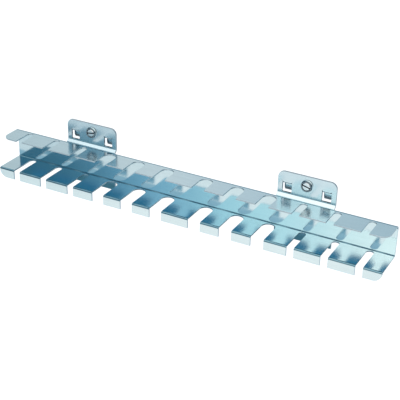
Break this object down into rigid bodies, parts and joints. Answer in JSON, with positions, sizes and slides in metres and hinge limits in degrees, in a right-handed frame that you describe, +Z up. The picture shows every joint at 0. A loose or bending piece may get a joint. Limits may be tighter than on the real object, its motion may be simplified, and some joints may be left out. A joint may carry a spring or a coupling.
{
  "type": "screwdriver rack",
  "caption": "Slotted, folded sheet-steel rail that holds screwdrivers upright, carried by two hook brackets with clamp screws for a perforated tool panel.",
  "frame": {"origin": "midway between the two brackets, on the panel's front face, level with the lower edges of the panel holes that the hooks sit on", "axes": "+X along the rail to the user's right, +Y into the panel, +Z up; the user stands on the -Y side"},
  "size_m": [0.4024, 0.0425, 0.0637],
  "materials": {
    "rail_zinc": "bright, blue-passivated zinc plating on cold-rolled steel sheet, almost mirror smooth",
    "bracket_zinc": "bright, blue-passivated zinc plating on steel sheet, slightly duller than the rail",
    "screw_zinc": "bright zinc plating on a turned steel screw"
  },
  "bodies": {
    "rack": {"tool_rail": "rail_zinc", "left_hook_bracket": "bracket_zinc", "right_hook_bracket": "bracket_zinc"},
    "left_clamp_screw": {"left_clamp_screw": "screw_zinc"},
    "right_clamp_screw": {"right_clamp_screw": "screw_zinc"}
  },
  "joints": [
    {"name": "left_clamp_turn", "type": "hinge", "parent": "rack", "child": "left_clamp_screw", "pos_m": [-0.114, 0, 0.003], "axis": [0, 1, 0], "range_deg": [0, 270]},
    {"name": "right_clamp_turn", "type": "hinge", "parent": "rack", "child": "right_clamp_screw", "pos_m": [0.114, 0, 0.003], "axis": [0, 1, 0], "range_deg": [0, 270]}
  ]
}
